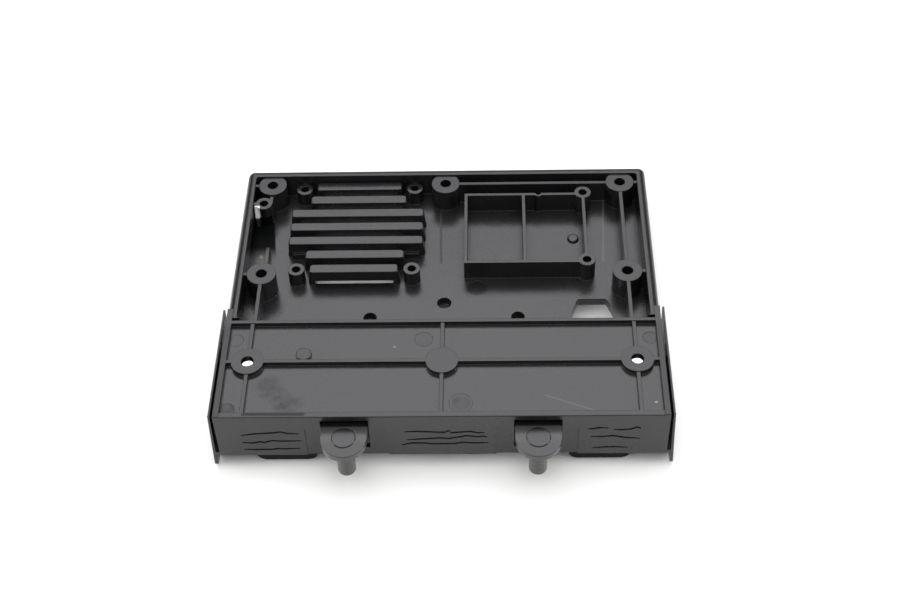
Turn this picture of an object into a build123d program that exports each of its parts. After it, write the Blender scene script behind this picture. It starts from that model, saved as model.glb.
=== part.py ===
import os

from build123d import *

# Half of a small electronics housing: one injection moulded ABS shell, seen with its
# inside up. X runs across the front, +Y to the rear, +Z up. The origin is under the
# middle of the moulding, level with the tips of its two side fins. While the pieces
# are made, Y is counted from the front face and `rim` is the height of the top edge.

# Overall sizes
overall_height = 21.0       # fin tips to the top edge
body_width = 115.2          # outside, across the side walls
body_depth = 91.0           # front face to rear face
front_depth = 31.4          # front face to the partition
corner_radius = 2.0         # upright corners at the rear

# Rear tray
tray_wall = 2.6
rear_wall = 2.9
tray_drop = 7.5             # top edge down to the tray floor
tray_floor = 2.4
shoulder_radius = 1.9       # rounded outer shoulder of the top edge
inner_radius = 0.8
base_edge_radius = 0.8      # rounded outer edge under the tray

# Front bay
bay_drop = 1.3              # top edge down to the bay's floor
bay_floor = 2.0
bay_side_wall = 1.5
bay_wall_overrun = 5.2      # the side walls run this far past the partition
front_wall = 1.6
front_wall_height = 16.0
lip_radius = 0.3            # front edge of the walls' tops
lip_drop = 0.2              # the front wall stands a little under the top edge
step_wall = 2.0             # upright wall between bay and tray

# Ribs
rib = 1.0
rib_drop = 0.6              # tray ribs and webs, under the top edge
rib_root = 0.2              # how far a rib is buried in what carries it

# Screw bosses of the tray; an inset is measured from the outer face of the side or rear wall
boss_side_inset = 7.6
boss_rear_inset = 6.0
boss_spacing_y = 35.0
boss_radius = 4.0
boss_drop = 0.5
boss_bore_radius = 1.55
boss_bore_depth = 6.0

# Fan seat: four small bosses round a raised grille
fan_side_inset = 32.6
fan_rear_inset = 21.2
fan_pitch = 32.0
fan_boss_radius = 2.3
fan_boss_height = 4.5
fan_bore_radius = 1.2
fan_bore_depth = 4.0
bar_half_lengths = (12.2, 13.7, 18.8, 18.8, 18.8, 13.7, 12.2)
bar_pitch = 5.45
bar_width = 3.1
bar_height = 3.5
bar_drop = 2.3              # top edge down to the bars
bar_leg = 1.4
bar_end_radius = 1.0
bar_draft = 0.6             # how far the bars' end faces lean out towards the floor
bar_edge_radius = 0.3
grille_edge_inset = 1.1     # the floor reaches this far under a bar beside a shorter one
grille_front_inset = 0.6    # and this far under the first bar
ledge_width = 1.1
ledge_height = 2.0

# Small bosses
small_boss_radius = 2.35
small_bore_radius = 1.2
small_bore_depth = 5.0
tall_boss_side_inset = 5.6
tall_boss_rear_inset = 13.0
tall_boss_drop = 1.0
gusset_offset_x = 2.0       # boss axis to the gusset's middle plane
gusset_top_run = 1.3        # the gusset reaches this far forward at the boss's top
gusset_foot_run = 3.6
gusset_width = 1.2
low_rib_height = 2.5
low_rib_rear_inset = 26.7   # rear face to the low rib's free end

# Rectangular compartment; offsets run from its left wall or from its front wall
box_side_inset = 18.3       # outer side face to the axes of its two bosses
box_rear_inset = 9.9
box_length = 33.4
box_depth = 26.6
box_drop = 1.3
box_wall = 0.9
box_boss_offset = 0.6       # the boss axes lie this far behind the walls' middle planes
divider_offset = 16.4
notch_offset = 20.7
notch_radius = 0.75
notch_wall = 0.6
stub_offset_x = 30.3
stub_offset_y = 14.4
stub_radius = 1.6
stub_height = 0.7
stub_edge_radius = 0.5

# Openings in the tray floor; offsets run to the rear from the partition
vent_offset = 13.5
vent_radius = 1.95
side_vent_x = 20.1
side_vent_offset = 8.3
side_vent_radius = 1.8
window_side_inset = 17.15
window_rear_offset = 14.5
window_front_offset = 5.1
window_rear_width = 7.9
window_front_width = 14.4
window_radius = 0.8

# Front bay: pads on the cross rib
pad_y = 18.3
pad_side_inset = 7.1
pad_radius = 4.25
pad_hole_radius = 1.65
pad_hole_length = 1.8
pad_counterbore_radius = 3.2
bay_rib_inset = 7.2
post_x = -36.1
post_y = 21.1
post_radius = 2.05
post_height = 0.9
post_edge_radius = 0.3

# Ejector marks
ejector_depth = 0.08
ejector_inset = 3.1         # side face to the marks in the bay's corners

# Locating pegs on D-shaped tabs that reach out through windows in the front wall
tab_spacing = 49.0
tab_radius = 5.85
tab_centre_y = -3.9
tab_drop = 3.9              # top edge down to the tab's face
tab_thickness = 1.8
tab_root_y = 6.0
tab_hanger = 1.6
tab_clearance = 0.2
slot_top_drop = 1.85
slot_bottom_drop = 13.3
disc_radius = 3.05
disc_height = 0.3
disc_edge_radius = 0.2
peg_radius = 2.35
peg_length = 11.3
peg_tip_radius = 0.6
peg_collar_radius = 2.9
peg_collar_height = 0.9

# Recessed panels of the front wall beside the tabs
panel_inner = 13.9
panel_outer = 34.8
panel_drop = 4.9
panel_depth = 0.35

# Rounded ears behind the front wall
ear_x = 40.5
ear_width = 15.8
ear_thickness = 2.2
ear_drop = 19.8
ear_radius = 2.5

# Side fins
fin_overrun = 4.8           # the fins run this far past the partition
fin_gap = 0.65
fin_top_thickness = 0.5
fin_toe_thickness = 0.8
fin_splay = 0.55
fin_toe = 7.0               # length of the fin's lowest stretch
fin_toe_radius = 1.8
fin_web = 1.2

# Scored marks on the front face, each a list of (x, drop) points: middle line of a groove
score_depth = 0.35
score_width = 0.65
score_end_width = 0.4
left_scores = (
    ((-51.2, 7.6), (-47.9, 7.0), (-43.0, 6.6), (-40.9, 6.2), (-39.2, 6.9), (-36.4, 7.1)),
    (
        (-51.2, 10.6), (-48.6, 10.8), (-46.5, 10.3), (-45.6, 10.6), (-43.5, 9.8), (-41.1, 10.1),
        (-36.0, 10.0),
    ),
    ((-51.1, 13.5), (-47.8, 13.6), (-44.2, 13.6), (-41.9, 13.2), (-40.6, 13.4), (-36.5, 13.2)),
)
middle_scores = (
    (
        (-9.4, 6.5), (-6.3, 6.3), (-3.6, 6.5), (0.7, 6.8), (1.9, 6.0), (2.5, 7.0), (7.3, 6.4),
        (9.1, 7.0), (10.9, 7.0),
    ),
    (
        (-8.9, 9.8), (-5.5, 9.5), (-0.2, 9.1), (1.6, 9.4), (4.2, 8.8), (6.4, 8.2), (9.1, 8.7),
        (10.4, 8.4), (11.6, 8.9),
    ),
    (
        (-10.3, 11.9), (-7.8, 11.2), (-4.7, 11.2), (-2.1, 11.6), (3.3, 11.5), (5.3, 11.0), (8.4, 11.3),
        (11.9, 11.2),
    ),
)
right_scores = (
    ((37.0, 5.7), (38.6, 5.6), (39.7, 5.2), (42.2, 5.3)),
    ((43.6, 6.0), (45.6, 6.1), (47.9, 5.8), (49.4, 5.0), (50.4, 5.5)),
    ((37.8, 8.9), (41.2, 8.9), (43.5, 8.5), (46.5, 9.3), (50.4, 9.7)),
    ((38.5, 13.6), (41.5, 13.3), (43.8, 13.2), (47.5, 13.5)),
)

# Heights and places that follow from the sizes above
rim = overall_height
side = body_width / 2
tray_top = rim - tray_drop
tray_bottom = tray_top - tray_floor
bay_top = rim - bay_drop
bay_bottom = bay_top - bay_floor
wall_bottom = rim - front_wall_height
inner_side = side - tray_wall
inner_rear = body_depth - rear_wall
bay_inner = side - bay_side_wall
bay_wall_length = front_depth + bay_wall_overrun
tray_front = front_depth + step_wall
boss_x = side - boss_side_inset
boss_rear_y = body_depth - boss_rear_inset
boss_mid_y = boss_rear_y - boss_spacing_y
fan_x = fan_side_inset - side
fan_y = body_depth - fan_rear_inset
tall_boss_x = tall_boss_side_inset - side
tall_boss_y = body_depth - tall_boss_rear_inset
box_boss_x = side - box_side_inset
box_left = box_boss_x - box_length
box_rear = body_depth - box_rear_inset
box_front = box_rear - box_depth
window_x = side - window_side_inset
window_rear = front_depth + window_rear_offset
window_front = front_depth + window_front_offset
pad_x = side - pad_side_inset
bay_rib_x = side - bay_rib_inset
fin_length = front_depth + fin_overrun
corner_mark_x = side - ejector_inset
rear_mark_y = front_depth - 4.9
tab_x = tab_spacing / 2
tab_reach = tab_radius - tab_centre_y
middle_y = (body_depth - tab_reach) / 2

# Ejector marks: x, y and radius of each, on the bay's floor and on the tray's floor
bay_marks = (
    (-corner_mark_x, rear_mark_y, 2.0),
    (corner_mark_x, rear_mark_y, 2.0),
    (-corner_mark_x, 3.4, 2.0),
    (-4.9, rear_mark_y, 2.4),
    (5.0, 5.1, 3.0),
)
tray_marks = ((box_left + 3.1, box_front - 4.1, 2.7),)


def block(x0, x1, y0, y1, z0, z1):
    """A box between two corners."""
    return Pos((x0 + x1) / 2, (y0 + y1) / 2, (z0 + z1) / 2) * Box(x1 - x0, y1 - y0, z1 - z0)


def post(x, y, radius, z0, z1):
    """An upright cylinder."""
    return Pos(x, y, (z0 + z1) / 2) * Cylinder(radius, z1 - z0)


def rib_x(x0, x1, y, z0, z1, width=rib):
    """A rib that runs along X."""
    return block(x0, x1, y - width / 2, y + width / 2, z0, z1)


def rib_y(x, y0, y1, z0, z1, width=rib):
    """A rib that runs along Y."""
    return block(x - width / 2, x + width / 2, y0, y1, z0, z1)


def tray():
    """Rear tray: floor and three walls with a rounded shoulder outside the top edge."""
    outer = block(-side, side, front_depth, body_depth, tray_bottom, rim)
    rear_corners = outer.edges().filter_by(Axis.Z).group_by(Axis.Y)[-1]
    outer = fillet(rear_corners, corner_radius)
    top_edges = outer.faces().sort_by(Axis.Z)[-1].edges()
    shoulder = [e for e in top_edges if e.center().Y > front_depth + rib_root]
    outer = fillet(shoulder, shoulder_radius)
    base_edges = outer.faces().sort_by(Axis.Z)[0].edges()
    base = [e for e in base_edges if e.center().Y > front_depth + rib_root]
    outer = fillet(base, base_edge_radius)
    cavity = block(-inner_side, inner_side, tray_front, inner_rear, tray_top, rim + 1)
    cavity = fillet(cavity.edges().filter_by(Axis.Z), inner_radius)
    clear = block(-side, side, front_depth, tray_front, bay_top, rim + 1)
    return outer - cavity - clear


def soft_front(shape):
    """A block with its front top edge rounded."""
    front_edges = shape.edges().filter_by(Axis.X).group_by(Axis.Y)[0]
    return fillet(front_edges.sort_by(Axis.Z)[-1], lip_radius)


def front_bay():
    """Front bay: a raised floor, the front wall, side walls and the partition."""
    shell = block(-side, side, 0, tray_front, bay_bottom, bay_top)
    shell += soft_front(block(-side, side, 0, front_wall, wall_bottom, rim - lip_drop))
    shell += rib_x(-bay_inner, bay_inner, front_depth + rib / 2, bay_bottom, rim)
    for x0, x1 in ((-side, -bay_inner), (bay_inner, side)):
        shell += soft_front(block(x0, x1, 0, tray_front, wall_bottom, rim))
        shell += block(x0, x1, front_depth, bay_wall_length, tray_top, rim)
    return shell


def bore(x, y, radius, depth, z1):
    """A blind screw hole, open at the top."""
    return post(x, y, radius, z1 - depth, z1 + 1)


def tray_bosses():
    """Five screw bosses, their webs to the walls and the ribs between them."""
    top = rim - boss_drop
    rib_top = rim - rib_drop
    low = tray_top - rib_root
    places = [(x, boss_rear_y) for x in (-boss_x, 0, boss_x)] + [(x, boss_mid_y) for x in (-boss_x, boss_x)]
    solid = post(*places[0], boss_radius, low, top)
    for x, y in places[1:]:
        solid += post(x, y, boss_radius, low, top)
    for x in (-boss_x, 0, boss_x):
        solid += rib_y(x, boss_rear_y, inner_rear + rib_root, low, rib_top)
    for y in (boss_rear_y, boss_mid_y):
        solid += rib_x(-inner_side - rib_root, -boss_x, y, low, rib_top)
        solid += rib_x(boss_x, inner_side + rib_root, y, low, rib_top)
    for x in (-boss_x, boss_x):
        solid += rib_y(x, front_depth + rib, boss_mid_y, low, rib_top)
    solid += rib_y(boss_x, boss_mid_y, boss_rear_y, low, rib_top)
    solid += rib_x(0, boss_x, boss_rear_y, low, rib_top)
    bores = [bore(x, y, boss_bore_radius, boss_bore_depth, top) for x, y in places]
    return solid, bores


def tall_boss():
    """Small tall boss beside the left wall, with its web, gusset and low rib."""
    top = rim - tall_boss_drop
    low = tray_top - rib_root
    solid = post(tall_boss_x, tall_boss_y, small_boss_radius, low, top)
    solid += rib_x(-inner_side - rib_root, tall_boss_x, tall_boss_y, low, top)
    solid += rib_y(-boss_x, tall_boss_y, boss_rear_y, low, top)
    solid += rib_y(-boss_x, boss_mid_y, body_depth - low_rib_rear_inset, low, tray_top + low_rib_height)
    profile = Polyline(
        (tall_boss_y, low),
        (tall_boss_y - gusset_foot_run, low),
        (tall_boss_y - gusset_top_run, top),
        (tall_boss_y, top),
        close=True,
    )
    plane = Plane((tall_boss_x - gusset_offset_x, 0, 0), x_dir=(0, 1, 0), z_dir=(1, 0, 0))
    plate = plane * make_face(profile)
    solid += extrude(plate, amount=gusset_width / 2, both=True)
    return solid, [bore(tall_boss_x, tall_boss_y, small_bore_radius, small_bore_depth, top)]


def fan_seat():
    """Four bosses at the corners of the fan, and the ledges beside the grille."""
    top = tray_top + fan_boss_height
    half = fan_pitch / 2
    places = [(fan_x + i * half, fan_y + j * half) for i in (-1, 1) for j in (-1, 1)]
    solid = post(*places[0], fan_boss_radius, tray_top - rib_root, top)
    for x, y in places[1:]:
        solid += post(x, y, fan_boss_radius, tray_top - rib_root, top)
    return solid, [bore(x, y, fan_bore_radius, fan_bore_depth, top) for x, y in places]


def bar_rows():
    """Middle line and half length of each grille bar, from the front one to the rear one."""
    last = (len(bar_half_lengths) - 1) / 2
    return [(fan_y + (i - last) * bar_pitch, half) for i, half in enumerate(bar_half_lengths)]


def grille_bar(y, half):
    """One bar, whose end faces lean out, on a leg at either end."""
    low = tray_top - rib_root
    top = rim - bar_drop
    foot = half + bar_draft
    section = Polyline(
        (fan_x - foot, low), (fan_x + foot, low), (fan_x + half, top), (fan_x - half, top), close=True)
    bar = Pos(0, y - bar_width / 2, 0) * extrude(Plane.XZ * make_face(section), amount=-bar_width)
    corners = bar.edges().filter_by(lambda e: abs(e.tangent_at(0.5).Z) > 0.5)
    bar = fillet(corners, bar_end_radius)
    bar = fillet(bar.faces().sort_by(Axis.Z)[-1].edges(), bar_edge_radius)
    inner = half - bar_leg
    return bar - block(fan_x - inner, fan_x + inner, y - bar_width, y + bar_width, low, top - bar_height)


def grille():
    """Seven bars that bridge an eight-sided opening, and the ledges in front of the long ones."""
    rows = bar_rows()
    bars = [grille_bar(y, half) for y, half in rows]
    first_long = len(rows) // 2 - 1
    long_y, long_half = rows[first_long]
    short_inner = rows[first_long - 1][1] - bar_leg
    front = long_y - bar_width / 2
    for s in (-1, 1):
        x0, x1 = sorted((fan_x + s * short_inner, fan_x + s * (long_half - bar_end_radius)))
        bars.append(block(
            x0, x1, front - ledge_width, front + rib_root, tray_top - rib_root, tray_top + ledge_height))
    return bars


def grille_opening():
    """Opening through the tray floor under the bars: a band under each bar and one per gap."""
    rows = bar_rows()
    reach = bar_width / 2 - grille_edge_inset
    bands = []
    for i, (y, half) in enumerate(rows):
        neighbours = [rows[j][1] for j in (i - 1, i + 1) if 0 <= j < len(rows)]
        y0 = y - (reach if i else bar_width / 2 - grille_front_inset)
        bands.append((y0, y + reach, min(half, *neighbours)))
    for (y0, half0), (y1, half1) in zip(rows, rows[1:]):
        bands.append((y0 + reach - rib_root, y1 - reach + rib_root, min(half0, half1)))
    cuts = []
    for y0, y1, half in bands:
        inner = half - bar_leg
        cuts.append(block(fan_x - inner, fan_x + inner, y0, y1, tray_bottom - 1, tray_top + rib_root))
    return cuts


def compartment():
    """Rectangular compartment with one divider, two bosses and a screw notch in its rear wall."""
    low = tray_top - rib_root
    top = rim - box_drop
    rear_boss_y = box_rear + box_boss_offset
    front_boss_y = box_front + box_boss_offset
    solid = rib_x(box_left - box_wall / 2, box_boss_x, box_rear, low, top, box_wall)
    solid += rib_x(box_left - box_wall / 2, box_boss_x, box_front, low, top, box_wall)
    solid += rib_y(box_left, box_front, box_rear, low, top, box_wall)
    solid += rib_y(box_left + divider_offset, box_front, box_rear, low, top, box_wall)
    solid += rib_y(box_boss_x, front_boss_y, rear_boss_y, low, top, box_wall)
    for y in (front_boss_y, rear_boss_y):
        solid += post(box_boss_x, y, small_boss_radius, low, top)
    back = box_rear + box_wall / 2
    notch_x = box_left + notch_offset
    solid += post(notch_x, back, notch_radius + notch_wall, low, top) - block(
        notch_x - boss_radius, notch_x + boss_radius, back, back + boss_radius, low, top)
    stub_x, stub_y = box_left + stub_offset_x, box_front + stub_offset_y
    stub = post(stub_x, stub_y, stub_radius, low, tray_top + stub_height)
    solid += fillet(stub.edges().sort_by(Axis.Z)[-1], stub_edge_radius)
    boss_rows = (front_boss_y, rear_boss_y)
    cuts = [bore(box_boss_x, y, small_bore_radius, small_bore_depth, top) for y in boss_rows]
    cuts.append(post(notch_x, back, notch_radius, tray_top, rim))
    return solid, cuts


def floor_openings():
    """Three round vents and the tapered window in the tray floor."""
    z0, z1 = tray_bottom - 1, tray_top + 1
    cuts = [post(0, front_depth + vent_offset, vent_radius, z0, z1)]
    for x in (-side_vent_x, side_vent_x):
        cuts.append(post(x, front_depth + side_vent_offset, side_vent_radius, z0, z1))
    outline = Polyline(
        (window_x - window_front_width / 2, window_front),
        (window_x + window_front_width / 2, window_front),
        (window_x + window_rear_width / 2, window_rear),
        (window_x - window_rear_width / 2, window_rear),
        close=True,
    )
    window = Pos(0, 0, z0) * extrude(make_face(outline), amount=z1 - z0)
    cuts.append(fillet(window.edges().filter_by(Axis.Z), window_radius))
    return cuts


def bay_pads():
    """Cross rib of the front bay with its three pads, the short ribs and the round post."""
    low = bay_top - rib_root
    pads = [(x, pad_y) for x in (-pad_x, 0, pad_x)]
    solid = rib_x(-bay_inner - rib_root, bay_inner + rib_root, pad_y, low, rim)
    for x in (-bay_rib_x, 0, bay_rib_x):
        solid += rib_y(x, front_wall - rib_root, front_depth + rib_root, low, rim - lip_drop)
    for x, y in pads:
        solid += post(x, y, pad_radius, low, rim)
    stud = post(post_x, post_y, post_radius, low, bay_top + post_height)
    solid += fillet(stud.edges().sort_by(Axis.Z)[-1], post_edge_radius)
    cuts = []
    for x, y in (pads[0], pads[-1]):
        cuts.append(post(x, y, pad_hole_radius, bay_bottom - 1, rim + 1))
        cuts.append(post(x, y, pad_counterbore_radius, bay_bottom - 1, rim - pad_hole_length))
    return solid, cuts


def ejector_marks():
    """Shallow round marks that the ejector pins leave on the floors."""
    marks = [post(x, y, r, bay_top - ejector_depth, bay_top + ejector_depth) for x, y, r in bay_marks]
    marks += [post(x, y, r, tray_top - ejector_depth, tray_top + ejector_depth) for x, y, r in tray_marks]
    return marks


def tab(x):
    """One D-shaped tab on its hanger, with the raised disc on its face and the peg under it."""
    face = rim - tab_drop
    under = face - tab_thickness
    solid = post(x, tab_centre_y, tab_radius, under, face)
    solid += block(x - tab_radius, x + tab_radius, tab_centre_y, tab_root_y, under, face)
    hanger_front = tab_root_y - tab_hanger
    solid += block(x - tab_radius, x + tab_radius, hanger_front, tab_root_y, under, bay_bottom + rib_root)
    disc = post(x, tab_centre_y, disc_radius, face - rib_root, face + disc_height)
    solid += fillet(disc.edges().sort_by(Axis.Z)[-1], disc_edge_radius)
    solid += post(x, tab_centre_y, peg_collar_radius, under - peg_collar_height, under + rib_root)
    peg = post(x, tab_centre_y, peg_radius, under - peg_length, under)
    solid += fillet(peg.edges().sort_by(Axis.Z)[0], peg_tip_radius)
    return solid


def tab_slot(x):
    """Window in the front wall round a tab."""
    half = tab_radius + tab_clearance
    return block(x - half, x + half, -1, front_wall, rim - slot_bottom_drop, rim - slot_top_drop)


def wall_panel(side_sign):
    """Shallow recess of the front face round a tab's window."""
    x0, x1 = sorted((side_sign * panel_inner, side_sign * panel_outer))
    return block(x0, x1, -1, panel_depth, wall_bottom - 1, rim - panel_drop)


def ear(x):
    """Rounded ear that hangs behind the front wall."""
    plate = block(
        x - ear_width / 2, x + ear_width / 2, front_wall - rib_root, front_wall + ear_thickness,
        rim - ear_drop, bay_bottom + rib_root)
    return fillet(plate.edges().filter_by(Axis.Y).group_by(Axis.Z)[0], ear_radius)


def fin(side_sign):
    """Thin plate outside a side wall, splayed at its toe, on a web along the wall's foot."""
    top_in = side + fin_gap
    toe_in = top_in + fin_splay
    section = Polyline(
        (top_in, rim),
        (top_in + fin_top_thickness, rim),
        (toe_in + fin_toe_thickness, 0),
        (toe_in, 0),
        close=True,
    )
    plate = extrude(Plane.XZ * make_face(section), amount=-fin_length)
    outline = Polyline(
        (0, 0), (fin_toe, 0), (fin_length, wall_bottom), (fin_length, rim), (0, rim), close=True)
    blade = extrude(Plane.YZ * make_face(outline), amount=toe_in + 2 * fin_toe_thickness)
    toe = blade.edges().filter_by(Axis.X).group_by(Axis.Z)[0]
    plate = plate & fillet(toe, fin_toe_radius)
    web = block(side - rib_root, toe_in, 0, fin_length, wall_bottom, wall_bottom + fin_web)
    web = web & block(0, 2 * side, 0, front_depth, 0, rim)
    solid = plate + web
    return solid if side_sign > 0 else mirror(solid, about=Plane.YZ)


def score(points):
    """A groove of the front face that follows a wavy line and narrows at both ends."""
    last = len(points) - 1
    upper, lower = [], []
    for i, (x, drop) in enumerate(points):
        half = (score_end_width if i in (0, last) else score_width) / 2
        upper.append((x, drop - half))
        lower.append((x, drop + half))
    ring = upper + lower[::-1]
    outline = Polyline(*[(x, rim - drop) for x, drop in ring], close=True)
    return extrude(Plane.XZ * make_face(outline), amount=score_depth, both=True)


def housing():
    """The whole moulding."""
    solid = tray() + front_bay()
    cuts = grille_opening() + floor_openings() + ejector_marks()
    for cut in cuts:
        solid -= cut
    for bar in grille():
        solid += bar
    holes = []
    for make in (tray_bosses, tall_boss, fan_seat, compartment, bay_pads):
        shape, bores = make()
        solid += shape
        holes += bores
    for s in (-1, 1):
        solid += ear(s * ear_x) + fin(s)
        solid -= wall_panel(s) + tab_slot(s * tab_x)
        solid += tab(s * tab_x)
    for hole in holes:
        solid -= hole
    for points in left_scores + middle_scores + right_scores:
        solid -= score(points)
    return Pos(0, -middle_y, 0) * solid


os.makedirs("parts", exist_ok=True)
export_step(housing(), "parts/housing_shell.step")
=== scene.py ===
import math

import bpy
from mathutils import Matrix, Vector

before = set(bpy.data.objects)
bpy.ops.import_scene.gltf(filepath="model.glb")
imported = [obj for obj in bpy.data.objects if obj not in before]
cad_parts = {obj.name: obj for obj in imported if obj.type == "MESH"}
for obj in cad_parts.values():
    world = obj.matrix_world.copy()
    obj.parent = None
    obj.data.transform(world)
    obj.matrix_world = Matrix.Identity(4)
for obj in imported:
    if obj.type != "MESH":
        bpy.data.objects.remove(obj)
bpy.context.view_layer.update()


# The moulding: one shallow shell of black ABS, with its bosses, ribs, grille, compartment,
# tabs, pegs and fins all part of it. It comes out of a steel mould, so its faces are satin,
# with a fine even grain, and its edges are just broken. All places and sizes are in metres.
class Value:
    """A shader socket that can be used in arithmetic."""

    def __init__(self, nodes, socket):
        self.nodes = nodes
        self.socket = socket

    def maths(self, operation, *others):
        return self.nodes.add("ShaderNodeMath", {"operation": operation}, self, *others)

    def __add__(self, other):
        return self.maths("ADD", other)

    def __sub__(self, other):
        return self.maths("SUBTRACT", other)

    def __mul__(self, other):
        return self.maths("MULTIPLY", other)

    def __truediv__(self, other):
        return self.maths("DIVIDE", other)

    def __radd__(self, other):
        return self.nodes.add("ShaderNodeMath", {"operation": "ADD"}, other, self)

    def __rsub__(self, other):
        return self.nodes.add("ShaderNodeMath", {"operation": "SUBTRACT"}, other, self)

    def __rmul__(self, other):
        return self.nodes.add("ShaderNodeMath", {"operation": "MULTIPLY"}, other, self)

    def magnitude(self):
        """The value without its sign."""
        return self.maths("ABSOLUTE")

    def above(self, level, blur):
        """Runs from 0 to 1 as the value passes the level, over the width of the blur."""
        return self.nodes.add(
            "ShaderNodeMapRange", {"interpolation_type": "SMOOTHSTEP", "clamp": True},
            self, level - blur / 2, level + blur / 2, 0, 1)

    def below(self, level, blur):
        return 1 - self.above(level, blur)


class Finish:
    """One material's nodes."""

    def __init__(self, name):
        self.material = bpy.data.materials.new(name)
        self.material.use_nodes = True
        self.tree = self.material.node_tree
        self.shader = self.tree.nodes["Principled BSDF"]

    def add(self, kind, settings=None, *values, output=0, **named):
        """A node of any kind: its settings are set first, then its sockets' values or links."""
        node = self.tree.nodes.new(kind)
        for key, setting in (settings or {}).items():
            setattr(node, key, setting)
        by_name = [(key.replace("_", " "), value) for key, value in named.items()]
        for key, value in list(enumerate(values)) + by_name:
            self.feed(node.inputs[key], value)
        return Value(self, node.outputs[output])

    def feed(self, socket, value):
        if isinstance(value, Value):
            self.tree.links.new(value.socket, socket)
        else:
            socket.default_value = value

    def object_place(self):
        """X, Y and Z of the point, and its whole vector."""
        place = self.add("ShaderNodeTexCoord", output="Object")
        apart = self.add("ShaderNodeSeparateXYZ", {}, place).socket.node
        return (*[Value(self, apart.outputs[i]) for i in range(3)], place)

    def noise(self, place, size, detail=3.0, rough=0.5):
        """Noise from 0 to 1 whose patches are about the size given."""
        return self.add(
            "ShaderNodeTexNoise", {}, Vector=place, Scale=1 / size, Detail=detail, Roughness=rough)

    def bump(self, height, strength, distance, normal):
        return self.add(
            "ShaderNodeBump", {},
            Strength=strength, Distance=distance, Height=height, Normal=normal)

    def blend(self, share, first, second):
        """Runs from the first colour to the second."""
        mixed = self.add("ShaderNodeMix", {"data_type": "RGBA"}, Factor=share, output=2)
        self.feed(mixed.socket.node.inputs[6], first)
        self.feed(mixed.socket.node.inputs[7], second)
        return mixed


ABS_DARK = (0.006, 0.006, 0.0068, 1)
ABS_DUSTY = (0.016, 0.016, 0.0175, 1)
MATT_BLACK_AND_SHADE = (0.003, 0.0033, 0.0033, 1)
RESIDUE_AND_PAINTED_LIGHT = (0.8, 0.8, 0.76, 1)
AMBER = (0.35, 0.27, 0.06, 1)

# Sizes of the patches of each pattern, and the radius of the broken edges
GRAIN_SIZE = 0.00035
DUST_SIZE = 0.0012
MOTTLE_SIZE = 0.0022
WAVE_SIZE = 0.0032
RAGGED_SIZE = 0.004
CLOUD_SIZE = 0.018
EDGE_RADIUS = 0.00018

# Levels of the moulding
TRAY_LEVEL = 0.0135       # the tray's floor
BAY_LEVEL = 0.0197        # the front bay's floor
RIB_LEVEL = 0.0201        # only walls, ribs and bosses reach above it
RIM_LEVEL = 0.0206        # only the walls' tops and the pads do
TALL_BOSS_LEVEL = 0.0201  # top of the tall boss
EAR_LEVEL = 0.0049        # only the ears, pegs and fins reach below it
TAB_EDGE = 0.0166         # upper edge of the tabs' rims
TAB_FACE = 0.0172         # the discs on the tabs stand above it
FRONT_FACE = -0.0409      # just in front of the front wall

plastic = Finish("black_abs")
x, y, z, place = plastic.object_place()
grain = plastic.noise(place, GRAIN_SIZE, 2.0)
cloud = plastic.noise(place, CLOUD_SIZE, 3.0, 0.55)
dust = plastic.noise(place, DUST_SIZE, 4.0, 0.65)
ragged = (plastic.noise(place, RAGGED_SIZE, 3.0, 0.6) - 0.5) * 0.006
mottle = plastic.noise(place, MOTTLE_SIZE, 4.0, 0.6).above(0.5, 0.35)
on_tray = z.above(TRAY_LEVEL - 0.0005, 0.0004) * z.below(TRAY_LEVEL + 0.0003, 0.0004)
on_bay = z.above(BAY_LEVEL - 0.0004, 0.0003) * z.below(BAY_LEVEL + 0.0003, 0.0003)


def from_line(start, end):
    """Distance from an upright line or wall that stands on the segment."""
    (x0, y0), (x1, y1) = start, end
    run_x, run_y = x1 - x0, y1 - y0
    along = ((x - x0) * run_x + (y - y0) * run_y) / (run_x ** 2 + run_y ** 2)
    along = along.maths("MINIMUM", 1).maths("MAXIMUM", 0)
    off_x, off_y = x - x0 - along * run_x, y - y0 - along * run_y
    return (off_x * off_x + off_y * off_y).maths("SQRT")


def streak(start, end, width, blur):
    """1 within the width of the segment."""
    return from_line(start, end).below(width / 2, blur)


def spot(centre, width, blur):
    """1 within a nearly round spot."""
    return streak(centre, (centre[0] + 0.0002, centre[1]), width, blur)


# Dull places are rougher, so they mirror less: a flow line on the tray, a mottled stain on the
# bay, a streak along the front edge, the tops of walls and bosses, and four ejector marks.
EJECTOR_MARKS = (         # centre, width and share of dullness
    ((0.0050, -0.0355), 0.0046, 0.14), ((-0.0049, -0.0141), 0.0046, 0.05),
    ((-0.0545, -0.0372), 0.0040, 0.16), ((0.0545, -0.0141), 0.0040, 0.06))

dull = on_tray * streak((-0.0015, 0.0394), (-0.0011, 0.0194), 0.0005, 0.0006) * 0.35
stain = (from_line((-0.0445, -0.0296), (-0.0386, -0.0364)) + ragged).below(0.0026, 0.0036)
dull = dull + on_bay * stain * (0.08 + mottle * 0.20)
edge_streak = streak((-0.0499, -0.0396), (-0.0347, -0.0397), 0.0008, 0.0006)
dull = dull + z.above(RIM_LEVEL, 0.0004) * edge_streak * 0.6
bay_sides = x.magnitude().above(0.0558, 0.0003) * y.below(-0.0100, 0.0004)
dull = dull + z.above(RIB_LEVEL, 0.0003) * (0.06 + bay_sides * 0.12)
for centre, width, share in EJECTOR_MARKS:
    dull = dull + on_bay * spot(centre, width, 0.0006) * share * (0.5 + mottle)
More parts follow.
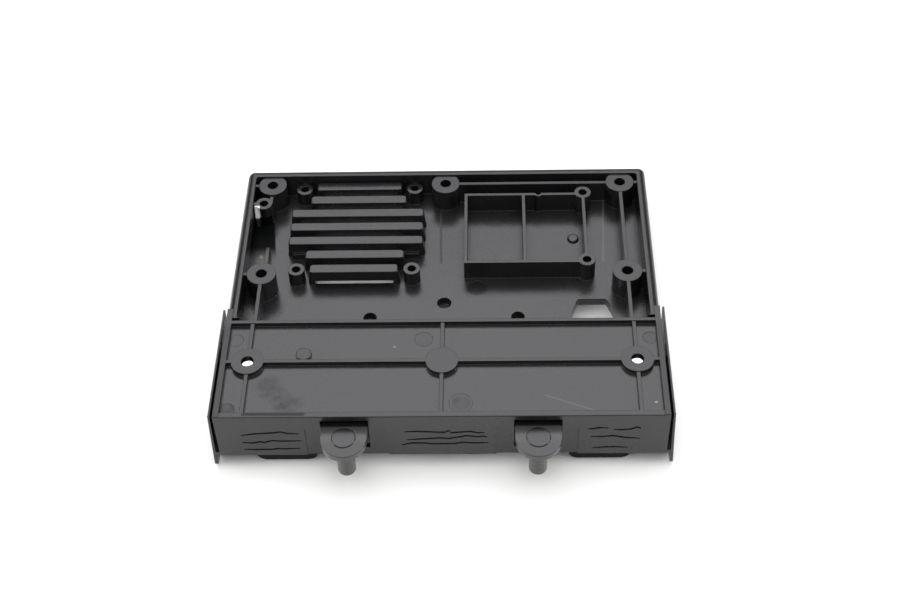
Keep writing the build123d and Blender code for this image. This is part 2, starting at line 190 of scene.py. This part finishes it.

# Matt places are almost black: a real matt smudge on the tray, and painted shade in the pool in
# front of the tall boss and on the ears under the front wall.
smudge = on_tray * streak((0.0088, 0.0100), (0.0093, 0.0102), 0.0052, 0.0012)
# Painted shade: the floor and the foot of the walls in front of the tall boss, between the side
# wall and the rib, go near-black.
painted_pool_shade = z.below(TRAY_LEVEL + 0.0030, 0.0006) * z.above(TRAY_LEVEL - 0.0005, 0.0004)
painted_pool_shade = painted_pool_shade * (x + y * 0.12).below(-0.0452, 0.0005) * x.above(-0.0566, 0.0003)
painted_pool_shade = painted_pool_shade * y.above(0.0235, 0.006) * y.below(0.0362, 0.0004)
# Painted shade on the ears below the front wall, which sit in the wall's shadow.
painted_ear_shade = z.below(EAR_LEVEL, 0.0004) * (x.magnitude() - 0.0405).magnitude().below(0.0085, 0.0004)

# Light places: a bright sliver painted beside the tall boss, a scratch, a painted highlight
# streak, a few specks of residue and painted light on the tabs and pegs. One more speck is amber.
SPECKS = (                # centre, width and share of residue
    ((-0.0126, -0.0167), 0.0004, 0.2), ((0.0542, -0.0356), 0.0005, 0.3),
    ((0.0522, -0.0391), 0.0006, 0.2))

# A bright sliver painted on the slope beside the tall boss.
bright_sliver = x.below(-0.0531, 0.0003) * (x + (z - TRAY_LEVEL) * 0.13).above(-0.0541, 0.0003)
bright_sliver = bright_sliver * y.above(0.0332, 0.0004) * y.below(0.0364, 0.0004)
residue_and_painted_light = bright_sliver * z.above(TRAY_LEVEL + 0.0004, 0.0004) * z.below(TALL_BOSS_LEVEL, 0.0003) * 0.9
scratch = streak((0.0264, -0.0331), (0.0400, -0.0387), 0.00025, 0.0003)
# A painted highlight: a light streak along the tray floor.
painted_highlight_streak = streak((0.0456, 0.0441), (0.0443, 0.0200), 0.0004, 0.0006)
residue_and_painted_light = residue_and_painted_light + on_bay * scratch * 0.045 + on_tray * painted_highlight_streak * 0.05
# Painted light: the pegs are lightened all over, and the tabs' top faces most near the front wall,
# where the slots above shade them.
painted_peg_light = z.below(TAB_EDGE, 0.0002) * 0.045
painted_tab_light = z.above(TAB_EDGE, 0.0002) * y.above(-0.0446, 0.0050) * 0.045
tabs_and_pegs = y.below(FRONT_FACE, 0.0003) * z.below(TAB_FACE, 0.0001)
residue_and_painted_light = residue_and_painted_light + tabs_and_pegs * (painted_peg_light + painted_tab_light)
on_level = (on_tray + on_bay).maths("MINIMUM", 1)
for centre, width, share in SPECKS:
    residue_and_painted_light = residue_and_painted_light + on_level * spot(centre, width, 0.0004) * share
amber_speck = on_tray * streak((-0.0521, 0.0221), (-0.0521, 0.0226), 0.0007, 0.0004)

# The layers together: clouds and dust in the colour and the gloss, broken edges, the faint
# waves of shrinkage and the mould's grain.
clouds = cloud.above(0.5, 0.6) * 0.30 + dust.above(0.62, 0.3) * 0.20
base = plastic.blend(clouds, ABS_DARK, ABS_DUSTY)
base = plastic.blend(residue_and_painted_light, base, RESIDUE_AND_PAINTED_LIGHT)
base = plastic.blend(amber_speck * 0.6, base, AMBER)
plastic.feed(plastic.shader.inputs["Base Color"], base)
satin = 0.20 + cloud * 0.08 + dust * 0.05
plastic.feed(plastic.shader.inputs["Roughness"], satin + dull * 0.7)

rounded = plastic.add("ShaderNodeBevel", {"samples": 6}, Radius=EDGE_RADIUS)
waves = plastic.noise(place, WAVE_SIZE, 3.0, 0.55)
wavy = plastic.bump(waves, 0.35, 0.00012, rounded)
plastic.feed(plastic.shader.inputs["Normal"], plastic.bump(grain, 0.06, 0.00004, wavy))

glossy = Value(plastic, plastic.shader.outputs[0])
# Near-black matt shader: painted shade in the pool and on the ears, and the real matt smudge.
matt_and_shade = plastic.add("ShaderNodeBsdfDiffuse", {}, Color=MATT_BLACK_AND_SHADE)
matt_and_shade_share = painted_pool_shade * 0.97 + painted_ear_shade * 0.75 + smudge * 0.45
surface = plastic.add("ShaderNodeMixShader", {}, matt_and_shade_share, glossy, matt_and_shade)
plastic.feed(plastic.tree.nodes["Material Output"].inputs["Surface"], surface)

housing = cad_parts["housing_shell"]
housing.data.materials.clear()
housing.data.materials.append(plastic.material)

# The table: a plain white board. The moulding rests on the toes of its two fins and on the
# rear bottom edge of its tray, so the board leans by that angle in the moulding's own frame.
TOE_REST = Vector((0, -0.03356, 0.0))
TRAY_REST = Vector((0, 0.0494, 0.0111))
TABLE_SIZE = 6
BOARD_WHITE = (0.86, 0.855, 0.85, 1)

lean = math.atan2(TRAY_REST.z - TOE_REST.z, TRAY_REST.y - TOE_REST.y)
bpy.ops.object.select_all(action="DESELECT")
bpy.ops.mesh.primitive_plane_add(size=TABLE_SIZE, location=TOE_REST, rotation=(lean, 0, 0))
table = bpy.context.object
table.name = "table"
bpy.ops.object.transform_apply(location=True, rotation=True, scale=True)
board = Finish("white_board")
board.feed(board.shader.inputs["Base Color"], BOARD_WHITE)
board.feed(board.shader.inputs["Roughness"], 0.75)
table.data.materials.append(board.material)


# Studio light: a soft panel behind and above the moulding, which its level faces mirror, a
# large soft lamp above for the board and the front wall, and a soft strip at each side. A tiny
# spot under each front screw hole keeps the board bright where the hole shows it.
def aim(lamp, direction):
    lamp.rotation_euler = Vector(direction).to_track_quat("-Z", "Y").to_euler()


def soft_lamp(name, place, width, depth, power, colour=(1, 1, 1)):
    """A rectangular soft lamp that faces the moulding."""
    bpy.ops.object.light_add(type="AREA", location=place)
    lamp = bpy.context.object
    lamp.name = name
    lamp.data.shape = "RECTANGLE"
    lamp.data.size = width
    lamp.data.size_y = depth
    lamp.data.energy = power
    lamp.data.color = colour
    aim(lamp, -lamp.location)


def bore_spot(name, place, direction):
    """A point-like lamp with a narrow cone of light."""
    bpy.ops.object.light_add(type="SPOT", location=place)
    lamp = bpy.context.object
    lamp.name = name
    lamp.data.energy = 0.03
    lamp.data.shadow_soft_size = 0
    lamp.data.spot_size = 0.24
    lamp.data.spot_blend = 0.3
    aim(lamp, direction)


soft_lamp("rear_panel", (0, 0.68, 1.05), 1.0, 0.8, 8.6, (0.98, 0.97, 1))
soft_lamp("top_lamp", (0, -0.5, 1.8), 2.8, 2.2, 48)
soft_lamp("left_strip", (-0.9, -0.05, 0.24), 0.6, 0.25, 7)
soft_lamp("right_strip", (0.9, -0.05, 0.24), 0.6, 0.25, 7)
bore_spot("left_bore_spot", (-0.0509, -0.0205, 0.0180), (-0.21, 0.84, -1))
bore_spot("right_bore_spot", (0.0508, -0.0205, 0.0180), (0.12, 0.84, -1))

world = bpy.data.worlds.new("surround")
bpy.context.scene.world = world
world.use_nodes = True
surround = world.node_tree.nodes["Background"]
surround.inputs["Color"].default_value = (1, 1, 1, 1)
surround.inputs["Strength"].default_value = 0.09
bpy.context.scene.view_settings.view_transform = "Standard"

# Camera: in front of the moulding and above it, turned a little to the left. The angles are in
# radians: yaw from +Y, pitch down from level, and roll about the line of sight.
CAMERA_PLACE = (0.0133015, -0.272488, 0.3197763)
YAW, PITCH, ROLL = -0.0421958, 0.8336574, -0.0395954
SENSOR_WIDTH = 36         # mm, as is the lens
LENS = 60.291

forward = Vector((
    math.sin(YAW) * math.cos(PITCH), math.cos(YAW) * math.cos(PITCH), -math.sin(PITCH)))
level = Vector((math.cos(YAW), -math.sin(YAW), 0))
upright = level.cross(forward)
right = level * math.cos(ROLL) + upright * math.sin(ROLL)
over = upright * math.cos(ROLL) - level * math.sin(ROLL)
bpy.ops.object.camera_add()
camera = bpy.context.object
camera.data.sensor_width = SENSOR_WIDTH
camera.data.lens = LENS
camera.data.clip_start = 0.01
turn = Matrix((right, over, -forward)).transposed().to_4x4()
camera.matrix_world = Matrix.Translation(CAMERA_PLACE) @ turn
bpy.context.scene.camera = camera
